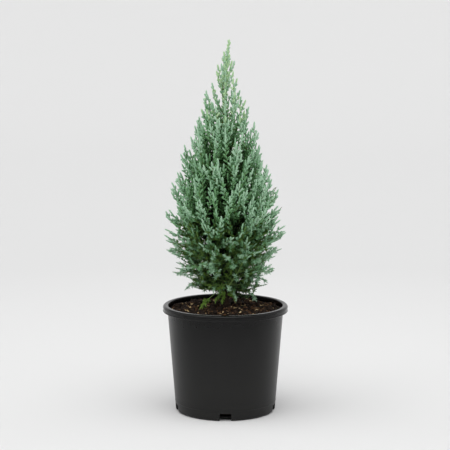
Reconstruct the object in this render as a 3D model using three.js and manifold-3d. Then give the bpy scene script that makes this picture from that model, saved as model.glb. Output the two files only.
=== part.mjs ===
// A young Chinese juniper of conical habit in a black nursery pot.
// Millimetres, +Z up, origin in the middle of the pot's underside, front of the pot towards -Y.
import * as THREE from "three";
import { mergeVertices } from "three/addons/utils/BufferGeometryUtils.js";
import Module from "manifold-3d";

const wasm = await Module();
wasm.setup();

// Pot
const POT_HEIGHT = 192.5;
const RIM_RADIUS = 112.5;
const RIM_INNER_RADIUS = 103;
const RIM_DEPTH = 10.9;
const RIM_SKIRT = 1.7;
const RIM_THICKNESS = 2.2;
const RIM_ROUND = 4;
const LIP_ROUND = 1.4;
const NECK_RADIUS = 104.1;
const BASE_RADIUS = 89.6;
const FOOT_RADIUS = 84.5;
const FOOT_ROUND = 4;
const RECESS_RADIUS = 58;
const RECESS_DEPTH = 2;
const WALL = 1.6;
const FLOOR_TOP = 4.5;
const POT_SIDES = 36;

// Drain notches round the foot: angles from the front, and the opening's size
const NOTCH_ANGLES = [0, 77, 146, -146, -77];
const NOTCH_HEIGHT = 13.8;
const NOTCH_TOP_WIDTH = 20;
const NOTCH_FOOT_WIDTH = 20.8;
const NOTCH_INNER_RADIUS = 74;
const NOTCH_OVERRUN = 1;

// Soil
const SOIL_TOP = 190;
const SOIL_EDGE_Z = 183;
const SOIL_FLAT_RADIUS = 16;
const MOUND_FULLNESS = 0.6;
const SOIL_FOOT_RADIUS = 66;
const SOIL_CHAMFER_Z = 24;

// Trunk: a leaning leader with a flared foot
const TRUNK_TOP = 575;
const TRUNK_RADIUS = 6.2;
const TRUNK_TIP_RADIUS = 1.1;
const FLARE = 4.6;
const FLARE_FADE = 9;
const TIP_LEAN = 7;
const LEAN_POWER = 8;
const SWAY = 5;
const TRUNK_SIDES = 8;
const TRUNK_RINGS = 14;
const RING_CROWDING = 1.5;

// Crown: the envelope that the tips of the foliage reach
const CROWN_TOP = 667;
const CROWN_FOOT = 203;
const CROWN_SHOULDER = 645;
const BELLY_Z = 325;
const BELLY_RADIUS = 104;
const BELLY_DROP = 154;
const CONE_POWER = 1.5;
const SPIRE_POWER = 1.25;
const FOOT_POWER = 0.7;
const SHOULDER_CROWDING = 14;
const TIP_ALLOWANCE = 7;
const LOWEST_TIP = 3;

// Plumes: limbs that spiral up the trunk, the lower ones with a bare bough
const SEED = 21;
const PLUMES = 42;
const BOUGHS = 14;
const GOLDEN_ANGLE = Math.PI * (3 - Math.sqrt(5));
const TURN_SPREAD = 0.25;
const SHORTEST_REACH = 0.9;
const LONGEST_REACH = 1.04;
const TOP_ANGLE = 15;
const FOOT_ANGLE = 106;
const ANGLE_SPREAD = 5;
const ANGLE_POWER = 1.7;
const TOP_BEND = 24;
const FOOT_BEND = -6;
const LOWEST_FORK = 29;
const FORK_CLIMB = 0.9;
const HIGHEST_FORK = TRUNK_TOP - 6;
const FULL_LENGTH = 110;
const LEADER_SIZE = 0.36;
const BOUGH_SHARE = 0.24;
const BOUGH_RADIUS = 2.7;
const BOUGH_SIDES = 5;
const STEM_SHARE = 0.75;
const STEM_END = 0.97;
const STEM_TIP_RADIUS = 0.5;
const STEM_SIDES = 3;
const LIMB_STEPS = 4;

// Core: the dense inside of a mass, a spindle round its stem
const CORE_START = 0.12;
const CORE_END = 0.88;
const CORE_RADIUS = 17;
const CORE_SWELL = [0.3, 1, 0.85, 0.2];
const CORE_SIDES = 5;
const CORE_SIZES = [1, 0.8, 0.6, 0.45];

// Branchlets: sprays that stand out of the core, each a blade with forward teeth
const BRANCHLETS = 7;
const LEADER_BRANCHLETS = 11;
const KEYS_A_PLUME = 64;
const BRANCHLET_OFFSET = 0.6;
const BRANCHLET_LENGTH = 76;
const SHORTEST_BRANCHLET = 0.8;
const LONGEST_BRANCHLET = 1.15;
const BRANCHLET_ANGLE = 49;
const BRANCHLET_TIP_ANGLE = 27;
const BRANCHLET_SPREAD = 6;
const BRANCHLET_LIFT = 0.22;
const INWARD_SHARE = 0.75;
const TIP_SHARE = 0.5;
const SPRAY_SIZES = [1, 0.75, 0.55];
const SPRAY_HALF_WIDTH = 10.5;
const SPRAY_SLIMNESS = 4;
const SPRAY_RIDGE = 0.5;
const LONG_SPRAY = 38;
const TEETH_START = 0.36;
const TOOTH_LEAN = 0.14;
const NOTCH_SHARE = 0.4;
const TOOTH_TAPER = 0.6;

// Gap that every piece keeps to its neighbours, and the distance under which two points are one
const CLEARANCE = 0.35;
const SAME_POINT = 1e-4;

const UP = new THREE.Vector3(0, 0, 1);
const radians = THREE.MathUtils.degToRad;
const lerp = THREE.MathUtils.lerp;

// A repeatable number from 0 to 1 for item i and its property k.
function chance(i, k) {
  let h = (Math.imul(i, 374761393) + Math.imul(k, 668265263) + Math.imul(SEED, 1442695041)) | 0;
  h = Math.imul(h ^ (h >>> 13), 1274126177);
  h = Math.imul(h ^ (h >>> 15), 1911520717);
  return ((h ^ (h >>> 16)) >>> 0) / 4294967296;
}
const between = (low, high, i, k) => lerp(low, high, chance(i, k));

// Solids and meshes

// A closed geometry as a solid.
function solidOf(geometry) {
  const bare = geometry.clone();
  bare.deleteAttribute("normal");
  bare.deleteAttribute("uv");
  const merged = mergeVertices(bare, SAME_POINT);
  const vertProperties = new Float32Array(merged.attributes.position.array);
  const triVerts = new Uint32Array(merged.index.array);
  return new wasm.Manifold(new wasm.Mesh({ numProp: 3, vertProperties, triVerts }));
}

// The largest body of a solid, as a geometry.
function geometryOf(solid) {
  const body = solid.decompose().reduce((a, b) => (a.volume() > b.volume() ? a : b));
  const mesh = body.getMesh();
  const geometry = new THREE.BufferGeometry();
  geometry.setAttribute("position", new THREE.BufferAttribute(new Float32Array(mesh.vertProperties), 3));
  geometry.setIndex(new THREE.BufferAttribute(new Uint32Array(mesh.triVerts), 1));
  geometry.computeVertexNormals();
  return geometry;
}

// A closed skin over rings of equally many points; a ring of one point is a tip.
function loft(rings) {
  const index = [];
  let start = 0;
  for (let k = 0; k + 1 < rings.length; k++) {
    const [count, nextCount] = [rings[k].length, rings[k + 1].length];
    const next = start + count;
    const sides = Math.max(count, nextCount);
    for (let i = 0; i < sides; i++) {
      const j = (i + 1) % sides;
      if (count > 1) index.push(start + i, start + j, next + (j % nextCount));
      if (nextCount > 1) index.push(start + (i % count), next + j, next + i);
    }
    start = next;
  }
  for (let i = 1; i + 1 < rings[0].length; i++) index.push(0, i + 1, i);
  for (let i = 1; i + 1 < rings.at(-1).length; i++) index.push(start, start + i, start + i + 1);
  const geometry = new THREE.BufferGeometry();
  geometry.setFromPoints(rings.flat());
  geometry.setIndex(index);
  return geometry;
}

// Two directions square to a limb's own, the first of them level.
function crossAxes(along) {
  const level = new THREE.Vector3().crossVectors(UP, along);
  if (level.length() < SAME_POINT) level.set(1, 0, 0);
  level.normalize();
  return [level, new THREE.Vector3().crossVectors(along, level)];
}

// A ring of points round a centre, square to a direction.
function ring(centre, along, radius, sides) {
  const [level, other] = crossAxes(along);
  return Array.from({ length: sides }, (_, i) => {
    const turn = (2 * Math.PI * i) / sides;
    return centre.clone()
      .addScaledVector(level, radius * Math.cos(turn))
      .addScaledVector(other, radius * Math.sin(turn));
  });
}

// A tapering limb along part of a curve, from t0 to t1.
function limb(curve, t0, t1, radius0, radius1, sides, steps) {
  const rings = [];
  for (let k = 0; k <= steps; k++) {
    const t = lerp(t0, t1, k / steps);
    rings.push(ring(curve.getPoint(t), curve.getTangent(t), lerp(radius0, radius1, k / steps), sides));
  }
  return loft(rings);
}

// A solid of revolution about Z from a profile of [radius, height].
function turned(profile) {
  const points = profile.map(([r, z]) => new THREE.Vector2(r, z));
  return new THREE.LatheGeometry(points, POT_SIDES).rotateX(Math.PI / 2);
}

// Pot and soil

// The pot wall's outer radius at a height.
const wallRadius = (z) => lerp(BASE_RADIUS, NECK_RADIUS, z / (POT_HEIGHT - RIM_DEPTH));

function notchCutter(angle) {
  const shape = new THREE.Shape([
    new THREE.Vector2(-NOTCH_FOOT_WIDTH / 2, -NOTCH_OVERRUN),
    new THREE.Vector2(NOTCH_FOOT_WIDTH / 2, -NOTCH_OVERRUN),
    new THREE.Vector2(NOTCH_TOP_WIDTH / 2, NOTCH_HEIGHT),
    new THREE.Vector2(-NOTCH_TOP_WIDTH / 2, NOTCH_HEIGHT),
  ]);
  const depth = RIM_RADIUS - NOTCH_INNER_RADIUS;
  return new THREE.ExtrudeGeometry(shape, { depth, bevelEnabled: false })
    .rotateX(Math.PI / 2)
    .translate(0, -NOTCH_INNER_RADIUS, 0)
    .rotateZ(radians(angle));
}

// Points of [radius, height] on the rim's rounded shoulder, from its outside to its top.
function rimShoulder() {
  return [0, 30, 60, 90].map(radians).map((turn) => [
    RIM_RADIUS - RIM_ROUND * (1 - Math.cos(turn)),
    POT_HEIGHT - RIM_ROUND * (1 - Math.sin(turn)),
  ]);
}

function potGeometry() {
  const underRim = POT_HEIGHT - RIM_DEPTH;
  const web = POT_HEIGHT - RIM_THICKNESS;
  const skirt = RIM_RADIUS - RIM_SKIRT;
  const wallFoot = wallRadius(FOOT_ROUND);
  const profile = [
    [0, RECESS_DEPTH],
    [RECESS_RADIUS, RECESS_DEPTH],
    [RECESS_RADIUS + RECESS_DEPTH, 0],
    [FOOT_RADIUS, 0],
    [lerp(FOOT_RADIUS, wallFoot, Math.SQRT1_2), FOOT_ROUND * (1 - Math.SQRT1_2)],
    [wallFoot, FOOT_ROUND],
    [NECK_RADIUS, underRim],
    [NECK_RADIUS, web],
    [skirt, web],
    [skirt, underRim],
    [RIM_RADIUS, underRim],
    ...rimShoulder(),
    [RIM_INNER_RADIUS + LIP_ROUND, POT_HEIGHT],
    [RIM_INNER_RADIUS, POT_HEIGHT - LIP_ROUND],
    [NECK_RADIUS - WALL, underRim],
    [wallRadius(FLOOR_TOP) - WALL, FLOOR_TOP],
    [0, FLOOR_TOP],
  ];
  const notches = NOTCH_ANGLES.map((angle) => solidOf(notchCutter(angle)));
  return geometryOf(notches.reduce((pot, notch) => pot.subtract(notch), solidOf(turned(profile))));
}

function soilGeometry() {
  const inside = (z) => wallRadius(z) - WALL - CLEARANCE;
  return geometryOf(solidOf(turned([
    [0, FLOOR_TOP + CLEARANCE],
    [SOIL_FOOT_RADIUS, FLOOR_TOP + CLEARANCE],
    [inside(SOIL_CHAMFER_Z), SOIL_CHAMFER_Z],
    [inside(SOIL_EDGE_Z), SOIL_EDGE_Z],
    [lerp(SOIL_FLAT_RADIUS, inside(SOIL_EDGE_Z), 0.5), lerp(SOIL_EDGE_Z, SOIL_TOP, MOUND_FULLNESS)],
    [SOIL_FLAT_RADIUS, SOIL_TOP],
    [0, SOIL_TOP],
  ])));
}

// Trunk

const TRUNK_FOOT = SOIL_TOP + CLEARANCE;

// The trunk's centre line: it sways to the left and its leader leans to the right.
function trunkPoint(z) {
  const share = (z - SOIL_TOP) / (CROWN_TOP - SOIL_TOP);
  const x = TIP_LEAN * Math.pow(share, LEAN_POWER) - SWAY * Math.sin(Math.PI * share);
  return new THREE.Vector3(x, 0, z);
}

function trunkRadius(z) {
  const share = (z - TRUNK_FOOT) / (TRUNK_TOP - TRUNK_FOOT);
  return lerp(TRUNK_RADIUS, TRUNK_TIP_RADIUS, share) + FLARE * Math.exp((TRUNK_FOOT - z) / FLARE_FADE);
}

// The trunk, or with its skin moved out the space that other pieces keep out of.
function trunkGeometry(grow) {
  const rings = [];
  for (let k = 0; k < TRUNK_RINGS; k++) {
    const z = lerp(TRUNK_FOOT, TRUNK_TOP, Math.pow(k / (TRUNK_RINGS - 1), RING_CROWDING));
    rings.push(ring(trunkPoint(z), UP, trunkRadius(z) + grow, TRUNK_SIDES));
  }
  return loft(rings);
}

// Crown

// The crown's half-width at a height: a cone above the belly, rounded in below it.
function crownRadius(z) {
  if (z >= CROWN_TOP) return 0;
  if (z >= BELLY_Z) {
    const taper = Math.pow((z - BELLY_Z) / (CROWN_TOP - BELLY_Z), CONE_POWER);
    return BELLY_RADIUS * Math.pow(1 - taper, SPIRE_POWER);
  }
  const drop = Math.min(1, (BELLY_Z - z) / BELLY_DROP);
  return BELLY_RADIUS * Math.pow(1 - drop * drop, FOOT_POWER);
}

// Heights from the crown's foot to its shoulder that share its skin out evenly.
function evenHeights(count) {
  const steps = 400;
  const heights = Array.from({ length: steps + 1 }, (_, k) => lerp(CROWN_FOOT, CROWN_SHOULDER, k / steps));
  const areas = [0];
  for (let k = 1; k <= steps; k++) areas.push(areas[k - 1] + crownRadius(heights[k]) + SHOULDER_CROWDING);
  return Array.from({ length: count }, (_, i) => {
    const wanted = (areas[steps] * (i + 0.5)) / count;
    return heights[areas.findIndex((a) => a >= wanted)];
  });
}

// One limb of the crown: its curve from the trunk's axis to its tip on the envelope.
function plume(i, tipZ) {
  const share = (tipZ - CROWN_FOOT) / (CROWN_TOP - CROWN_FOOT);
  const turn = i * GOLDEN_ANGLE + between(-TURN_SPREAD, TURN_SPREAD, i, 1);
  const out = new THREE.Vector3(Math.cos(turn), Math.sin(turn), 0);
  const reach = crownRadius(tipZ) * between(SHORTEST_REACH, LONGEST_REACH, i, 2);
  const angle = lerp(TOP_ANGLE, FOOT_ANGLE, Math.pow(1 - share, ANGLE_POWER));
  const lean = radians(angle + between(-ANGLE_SPREAD, ANGLE_SPREAD, i, 3));
  const lowestFork = SOIL_TOP + LOWEST_FORK + FORK_CLIMB * i;
  const forkZ = THREE.MathUtils.clamp(tipZ - reach / Math.tan(lean), lowestFork, HIGHEST_FORK);
  const fork = trunkPoint(forkZ);
  const tip = trunkPoint(tipZ).addScaledVector(out, reach);
  const chord = tip.clone().sub(fork);
  const rise = Math.atan2(chord.dot(out), chord.z) + radians(lerp(FOOT_BEND, TOP_BEND, share));
  const start = out.clone().multiplyScalar(Math.sin(rise)).addScaledVector(UP, Math.cos(rise));
  const bend = fork.clone().addScaledVector(start, chord.length() / 2);
  const onBough = i < BOUGHS;
  return {
    index: i,
    label: String(i + 1).padStart(2, "0"),
    curve: new THREE.QuadraticBezierCurve3(fork, bend, tip),
    length: chord.length(),
    size: Math.min(1, chord.length() / FULL_LENGTH),
    branchlets: BRANCHLETS,
    stemStart: onBough ? BOUGH_SHARE : 0,
    onBough,
    out,
  };
}

// The leader goes on from the trunk's tip to the top of the crown.
function leaderPlume() {
  const heights = [TRUNK_TOP + CLEARANCE, lerp(TRUNK_TOP, CROWN_TOP, 0.5), CROWN_TOP];
  return {
    index: PLUMES,
    label: "leader",
    curve: new THREE.QuadraticBezierCurve3(...heights.map(trunkPoint)),
    length: CROWN_TOP - TRUNK_TOP,
    size: LEADER_SIZE,
    branchlets: LEADER_BRANCHLETS,
    stemStart: 0,
    leader: true,
    out: new THREE.Vector3(),
  };
}

const boughRadius = (p) => BOUGH_RADIUS * p.size;
const stemRadius = (p) => (p.leader ? TRUNK_TIP_RADIUS : boughRadius(p) * STEM_SHARE);

// A bough runs from the trunk's bark to where its plume's leafy stem starts.
function boughSolid(p, trunkSpace) {
  const whole = limb(p.curve, 0, BOUGH_SHARE, boughRadius(p), stemRadius(p), BOUGH_SIDES, LIMB_STEPS);
  return solidOf(whole).subtract(trunkSpace);
}

// A stem starts just off its bough's end, the trunk's bark or the trunk's tip.
function stemSolid(p, trunkSpace) {
  const from = p.onBough ? BOUGH_SHARE + CLEARANCE / p.length : 0;
  const stem = solidOf(limb(p.curve, from, STEM_END, stemRadius(p), STEM_TIP_RADIUS, STEM_SIDES, LIMB_STEPS));
  return p.onBough || p.leader ? stem : stem.subtract(trunkSpace);
}

function coreSolid(p, share) {
  const rings = CORE_SWELL.map((swell, k) => {
    const along = lerp(CORE_START, CORE_END, k / (CORE_SWELL.length - 1));
    const t = lerp(p.stemStart, 1, along);
    return ring(p.curve.getPoint(t), p.curve.getTangent(t), CORE_RADIUS * p.size * share * swell, CORE_SIDES);
  });
  return solidOf(loft(rings));
}

// Branchlet j of a plume: where it leaves the stem, which way it points and how long it is.
function branchlet(p, j) {
  const key = p.index * KEYS_A_PLUME + j;
  const along = (j + BRANCHLET_OFFSET) / p.branchlets;
  const t = lerp(p.stemStart, 1, along);
  const stem = p.curve.getTangent(t);
  const [level, other] = crossAxes(stem);
  const turn = j * GOLDEN_ANGLE + between(-TURN_SPREAD, TURN_SPREAD, key, 11);
  const side = level.multiplyScalar(Math.cos(turn)).addScaledVector(other, Math.sin(turn));
  const lean = lerp(BRANCHLET_ANGLE, BRANCHLET_TIP_ANGLE, along);
  const angle = radians(lean + between(-BRANCHLET_SPREAD, BRANCHLET_SPREAD, key, 12));
  const way = stem.multiplyScalar(Math.cos(angle)).addScaledVector(side, Math.sin(angle));
  way.addScaledVector(UP, BRANCHLET_LIFT).normalize();
  const inward = way.dot(p.out) < 0 ? INWARD_SHARE : 1;
  const share = Math.sqrt(p.size) * inward * lerp(1, TIP_SHARE, along);
  const length = BRANCHLET_LENGTH * share * between(SHORTEST_BRANCHLET, LONGEST_BRANCHLET, key, 13);
  return { from: p.curve.getPoint(t), way, length, side };
}

// A spray of needles as a ridged blade, slim at its foot, with side teeth that point forward.
function spraySolid(from, way, length, side) {
  const wide = new THREE.Vector3().crossVectors(way, side).normalize();
  const thick = new THREE.Vector3().crossVectors(wide, way);
  const at = (forward, across, through) => from.clone()
    .addScaledVector(way, forward * length)
    .addScaledVector(wide, across)
    .addScaledVector(thick, through);
  const station = (forward, lean, half) => [
    at(forward + lean, -half, 0),
    at(forward, 0, half * SPRAY_RIDGE),
    at(forward + lean, half, 0),
  ];
  const widest = Math.min(SPRAY_HALF_WIDTH, length / SPRAY_SLIMNESS);
  const teeth = length > LONG_SPRAY ? 2 : 1;
  const rings = [[from]];
  for (let k = 0; k < teeth; k++) {
    const foot = lerp(TEETH_START, 1, k / teeth);
    const half = widest * Math.pow(TOOTH_TAPER, k);
    rings.push(station(foot, TOOTH_LEAN, half));
    if (k + 1 < teeth) rings.push(station(foot + TOOTH_LEAN, 0, half * NOTCH_SHARE));
  }
  rings.push([at(1, 0, 0)]);
  return solidOf(loft(rings));
}

// A spray's tip lies inside the crown's envelope and above the soil.
function insideCrown(tip) {
  const axis = trunkPoint(tip.z);
  const reach = Math.hypot(tip.x - axis.x, tip.y - axis.y);
  const overSoil = tip.z > SOIL_TOP + LOWEST_TIP;
  return overSoil && tip.z < CROWN_TOP && reach < crownRadius(tip.z) + TIP_ALLOWANCE;
}

// The space taken by the solids already placed, each with the node that owns it.
class Occupied {
  constructor() {
    this.entries = [];
  }

  add(owner, solid) {
    this.entries.push({ owner, solid, box: solid.boundingBox() });
  }

  // True where a solid stays clear of every other owner's solids.
  isClear(owner, solid) {
    const { min, max } = solid.boundingBox();
    const farOff = ({ box }) => [0, 1, 2].some((axis) => (
      box.min[axis] - CLEARANCE > max[axis] || box.max[axis] + CLEARANCE < min[axis]
    ));
    return this.entries.every((entry) => (
      entry.owner === owner || farOff(entry) || entry.solid.minGap(solid, 2 * CLEARANCE) > CLEARANCE
    ));
  }
}

// The trunk, its boughs and the masses of foliage, which grow spray by spray where there is room.
function crownNodes() {
  const occupied = new Occupied();
  const trunk = solidOf(trunkGeometry(0));
  const trunkSpace = solidOf(trunkGeometry(CLEARANCE));
  const plumes = evenHeights(PLUMES).map((z, i) => plume(i, z));
  const wood = [["trunk", trunk]];
  for (const p of plumes.slice(0, BOUGHS)) wood.push(["bough_" + p.label, boughSolid(p, trunkSpace)]);
  for (const [name, solid] of wood) occupied.add(name, solid);

  const masses = [...plumes, leaderPlume()].map((p) => ({ name: "foliage_" + p.label, p, solids: [] }));
  const place = (mass, solid) => {
    occupied.add(mass.name, solid);
    mass.solids.push(solid);
  };
  for (const mass of masses) place(mass, stemSolid(mass.p, trunkSpace));
  for (const mass of masses) {
    const fits = CORE_SIZES.map((size) => coreSolid(mass.p, size))
      .find((core) => occupied.isClear(mass.name, core));
    if (fits) place(mass, fits);
  }
  for (let j = 0; j < LEADER_BRANCHLETS; j++) {
    for (const mass of masses.filter(({ p }) => j < p.branchlets)) {
      const { from, way, length, side } = branchlet(mass.p, j);
      const fits = SPRAY_SIZES.filter((size) => insideCrown(from.clone().addScaledVector(way, length * size)))
        .map((size) => spraySolid(from, way, length * size, side))
        .find((spray) => occupied.isClear(mass.name, spray));
      if (fits) place(mass, fits);
    }
  }
  return [
    ...wood.map(([name, solid]) => [name, geometryOf(solid), BARK]),
    ...masses.map(({ name, solids }) => [name, geometryOf(wasm.Manifold.union(solids)), FOLIAGE]),
  ];
}

// Materials and the assembled plant

const PLASTIC = new THREE.MeshStandardMaterial({ color: 0x2b2c2c, roughness: 0.55, metalness: 0 });
const COMPOST = new THREE.MeshStandardMaterial({ color: 0x2a1d14, roughness: 1, metalness: 0 });
const BARK = new THREE.MeshStandardMaterial({ color: 0x4c3524, roughness: 0.95, metalness: 0 });
const FOLIAGE = new THREE.MeshStandardMaterial({ color: 0x6f9c80, roughness: 0.8, metalness: 0 });

const juniper = new THREE.Group();
for (const [name, geometry, material] of [
  ["pot", potGeometry(), PLASTIC],
  ["soil", soilGeometry(), COMPOST],
  ...crownNodes(),
]) {
  const mesh = new THREE.Mesh(geometry, material);
  mesh.name = name;
  juniper.add(mesh);
}

export default juniper;
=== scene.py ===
"""A young Chinese juniper in a black nursery pot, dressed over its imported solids.

The crown grows by the same rule as the solids, in millimetres, and goes on to twigs, shoots and needles.
"""
import math

import bmesh
import bpy
import numpy as np
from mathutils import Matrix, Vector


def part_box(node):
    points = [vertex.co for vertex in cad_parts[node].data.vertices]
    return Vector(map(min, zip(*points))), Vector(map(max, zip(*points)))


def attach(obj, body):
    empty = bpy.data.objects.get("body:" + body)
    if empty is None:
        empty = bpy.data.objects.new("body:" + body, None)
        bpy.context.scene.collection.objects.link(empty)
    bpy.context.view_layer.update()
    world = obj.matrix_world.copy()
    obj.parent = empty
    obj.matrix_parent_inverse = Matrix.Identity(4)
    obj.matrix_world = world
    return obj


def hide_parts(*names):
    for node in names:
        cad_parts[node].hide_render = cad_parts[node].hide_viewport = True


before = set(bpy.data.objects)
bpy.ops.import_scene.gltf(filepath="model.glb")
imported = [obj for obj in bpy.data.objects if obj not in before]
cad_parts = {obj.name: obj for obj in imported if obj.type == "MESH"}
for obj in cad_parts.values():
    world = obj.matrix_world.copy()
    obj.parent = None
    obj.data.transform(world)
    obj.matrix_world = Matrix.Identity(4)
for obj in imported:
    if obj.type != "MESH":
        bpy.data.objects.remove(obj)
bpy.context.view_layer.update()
MM = 0.001
BODY = "root"

# Pot and soil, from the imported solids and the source's named sizes, in millimetres
POT_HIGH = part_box("pot")[1]
POT_HEIGHT = POT_HIGH.z / MM
RIM_RADIUS = POT_HIGH.x / MM
SOIL_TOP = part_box("soil")[1].z / MM
RIM_INNER_RADIUS = 103
RIM_DEPTH = 10.9
RIM_SKIRT = 1.7
RIM_THICKNESS = 2.2
RIM_ROUND = 4
LIP_ROUND = 1.4
BEAD_RADIUS = 1.0
FACE_INSET = 0.6
NECK_RADIUS = 104.1
NECK_FILLET = 0.8
BASE_RADIUS = 89.6
FOOT_RADIUS = 84.5
FOOT_ROUND = 4
SEAM_Z = 18.5
SEAM_HALF = 0.45
SEAM_RISE = 0.3
RECESS_RADIUS = 58
RECESS_DEPTH = 2
WALL = 1.6
FLOOR_TOP = 4.5
NOTCH_ANGLES = (0, 77, 146, -146, -77)
NOTCH_HEIGHT = 13.8
NOTCH_TOP_WIDTH = 20
NOTCH_FOOT_WIDTH = 20.8
NOTCH_INNER_RADIUS = 74
NOTCH_OVERRUN = 1
POT_SIDES = 180
HEEL_STEPS = 8
WALL_STEPS = 10
WALL_STEPS_FROM = 30
BEAD_TURN = (-135, 66)
BEAD_FADE = 2.2
MERGE_DISTANCE = 1e-6
SHARP_ANGLE = 32
SOIL_EDGE_Z = 183
SOIL_FLAT_RADIUS = 16
MOUND_FULLNESS = 0.6
SOIL_FOOT_RADIUS = 66
SOIL_CHAMFER_Z = 24
SOIL_ROWS = 84
SOIL_COLUMNS = 260
AXIS_RADIUS = 0.02
LUMP_WIDTH = 9
LUMP_HEIGHT = 2.2
CRACK_WIDTH = 5
CRACK_DEPTH = 1.8
SOIL_DROP = 0.8
CRUMB_MARGIN = 3
CRUMB_CROWDING = 2.2
CRUMB_STRETCH = (0.6, 1.3)
CRUMB_LUMPS = 0.28
CRUMB_LIFT = 0.35
CHIP_MARGIN = 5
CHIP_LIFT = 2.0
CHIP_TILT = (-0.25, 0.45)
CHIP_LENGTHS = (0.45, 1.2)
CHIP_WIDTHS = (0.6, 1.2)
CHIP_THICKNESS = (0.3, 0.6)
CHIP_BEND = (-0.12, 0.18)
CHIP_RINGS = ((-0.5, 0.45), (0.0, 1.0), (0.5, 0.35))
CHIP_CORNERS = ((1, 0), (0, 1), (-1, 0), (0, -1))
CLEARANCE = 0.35

# Trunk and bark
TRUNK_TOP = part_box("trunk")[1].z / MM
TRUNK_FOOT = SOIL_TOP + CLEARANCE
TRUNK_RADIUS = 6.2
TRUNK_TIP_RADIUS = 1.1
FLARE = 4.6
FLARE_FADE = 9
TIP_LEAN = 7
LEAN_POWER = 8
SWAY = 5
TRUNK_SUNK = 2.5
TRUNK_RINGS = 150
TRUNK_CROWDING = 1.3
TRUNK_SIDES = 30
BARK_TOP = 480
STRIP_TURN = 1.1
STRIP_STRETCH = 0.09
STRIP_SCALE = 0.8
STRIP_DEPTH = 0.11
STRIP_FLATTENING = 0.4

# Crown and plumes, as in the source
CROWN_TOP = 667
CROWN_FOOT = 203
CROWN_SHOULDER = 645
BELLY_Z = 325
BELLY_RADIUS = 104
BELLY_DROP = 154
CROWN_STEPS = 400
CONE_POWER = 1.5
SPIRE_POWER = 1.25
FOOT_POWER = 0.7
SHOULDER_CROWDING = 14
TIP_ALLOWANCE = 7
LOWEST_TIP = 3
SEED = 21
PLUMES = 42
BOUGHS = 14
GOLDEN_ANGLE = math.pi * (3 - math.sqrt(5))
TURN_SPREAD = 0.25
SHORTEST_REACH = 0.9
LONGEST_REACH = 1.04
TOP_ANGLE = 15
FOOT_ANGLE = 106
ANGLE_SPREAD = 5
ANGLE_POWER = 1.7
TOP_BEND = 24
FOOT_BEND = -6
LOWEST_FORK = 29
FORK_CLIMB = 0.9
HIGHEST_FORK = TRUNK_TOP - 6
FULL_LENGTH = 110
LEADER_SIZE = 0.36
BOUGH_SHARE = 0.24
BOUGH_RADIUS = 2.7
BOUGH_END = 0.5
BOUGH_END_SHARE = 0.2
BOUGH_RINGS = 24
BOUGH_SIDES = 12
STEM_SHARE = 0.75
STEM_TIP_RADIUS = 0.5
STEM_SPAN = (0.46, 0.97)
STEM_RINGS = 14
STEM_SIDES = 6
LEADER_Z = 470
LEADER_OVERRUN = 2
LEADER_RINGS = 30
LEADER_SIDES = 8
LEADER_SWELL = 1.02
BRANCHLETS = 7
LEADER_BRANCHLETS = 11
KEYS_A_PLUME = 64
BRANCHLET_OFFSET = 0.6
BRANCHLET_LENGTH = 76
SHORTEST_BRANCHLET = 0.8
LONGEST_BRANCHLET = 1.15
BRANCHLET_ANGLE = 49
BRANCHLET_TIP_ANGLE = 27
BRANCHLET_SPREAD = 6
BRANCHLET_LIFT = 0.22
INWARD_SHARE = 0.75
TIP_SHARE = 0.5
SPRAY_SIZES = (1, 0.75, 0.55)

# Finer growth: feathers between the source's own sprays, then shoots, then needles
DEAL_SEED = 25
SPREAD_TOP = 560
THIN_Z = 540
THIN_STEP = 2
SPARSE_Z = 475
SPARSE_STEP = 3
END_SHARES = ((203, 0.86), (262, 0.95), (330, 1.0), (395, 1.06),
              (450, 1.0), (480, 0.95), (520, 1.0), (667, 0.72))
SPRAY_LEAN = (0.55, 1.05)
FEATHER_LENGTH = 84
LENGTH_VARIATION = (0.8, 1.15)
WAY_SPREAD = 0.12
SWEEP_SHARE = 0.6
BEND_SHARE = 0.45
SLIMMEST = 0.62
SLIM_SHARE = 0.6
LEAFY_START = 0.4
BARE_FOOT = 0.06
LIMB_FOOT = 224
LIMB_SPAN = (0.1, 0.9)
LIMB_STEPS = 17
TRUNK_STEPS = 60
AXIS_REACH = 8
SLIMMEST_CROWN = 12
TIP_TOP_ANGLE = 9
TIP_FOOT_ANGLE = 98
TIP_FADE = 0.39
TIP_TURN = 0.85
STAR_TOP = 370
STAR_FOOT = 265
BRUSH_SHARE = 0.6
BRUSH_STEP = 14
BRUSH_OVERLAP = 1.1
SHOOT_RANKS = (0, 180, 90, 0, 180, 270)
SHOOT_STEP = 3.4
STAR_STEP = 8
FEWEST_SHOOTS = 3
RANK_SPREAD = 0.3
SHOOT_LENGTH = (13, 10)
SHOOT_TIP_SHARE = 0.6
OFF_PLANE_SHARE = 0.8
LANCE_SLOPE = 0.5
LANCE_TIP = 2.5
SHOOT_ANGLE = 44
SHOOT_TIP_ANGLE = 34
SHOOT_ANGLES = (0.85, 1.15)
STAR_ANGLE = 1.3
SHOOT_TOP_SHARE = 0.62
NARROW_SHARE = 0.74
FORKING_LENGTH = 10.5
FORK_SHARE = 0.5
FORK_ANGLE = 38
END_SHOOT = 16
LONGEST_END = 0.5
END_OVERLAP = 0.8
END_CLOSING = 0.66
END_SAMPLE = 0.95
SCALY_WHORLS = 5
STAR_WHORLS = 3
STAR_SHARE = 0.5
WHORL_OFFSET = 0.2
NEEDLES_A_WHORL = 3
NEEDLE_LENGTH = (3.6, 8.2)
NEEDLE_SPREAD = (16, 64)
NEEDLE_CLOSING = (0.6, 0.35)
NEEDLE_HALF_WIDTH = (1.0, 0.85)
NEEDLE_RIM = (1.0, 0.35)
NEEDLE_VARIATION = (0.88, 1.12)
NEEDLE_TURN = 0.3
NEEDLE_ANGLES = (0.8, 1.2)
NEEDLE_LENGTHS = (0.85, 1.1)
NEEDLE_TAPER = 0.3
NEEDLE_INSET = 0.7
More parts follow.
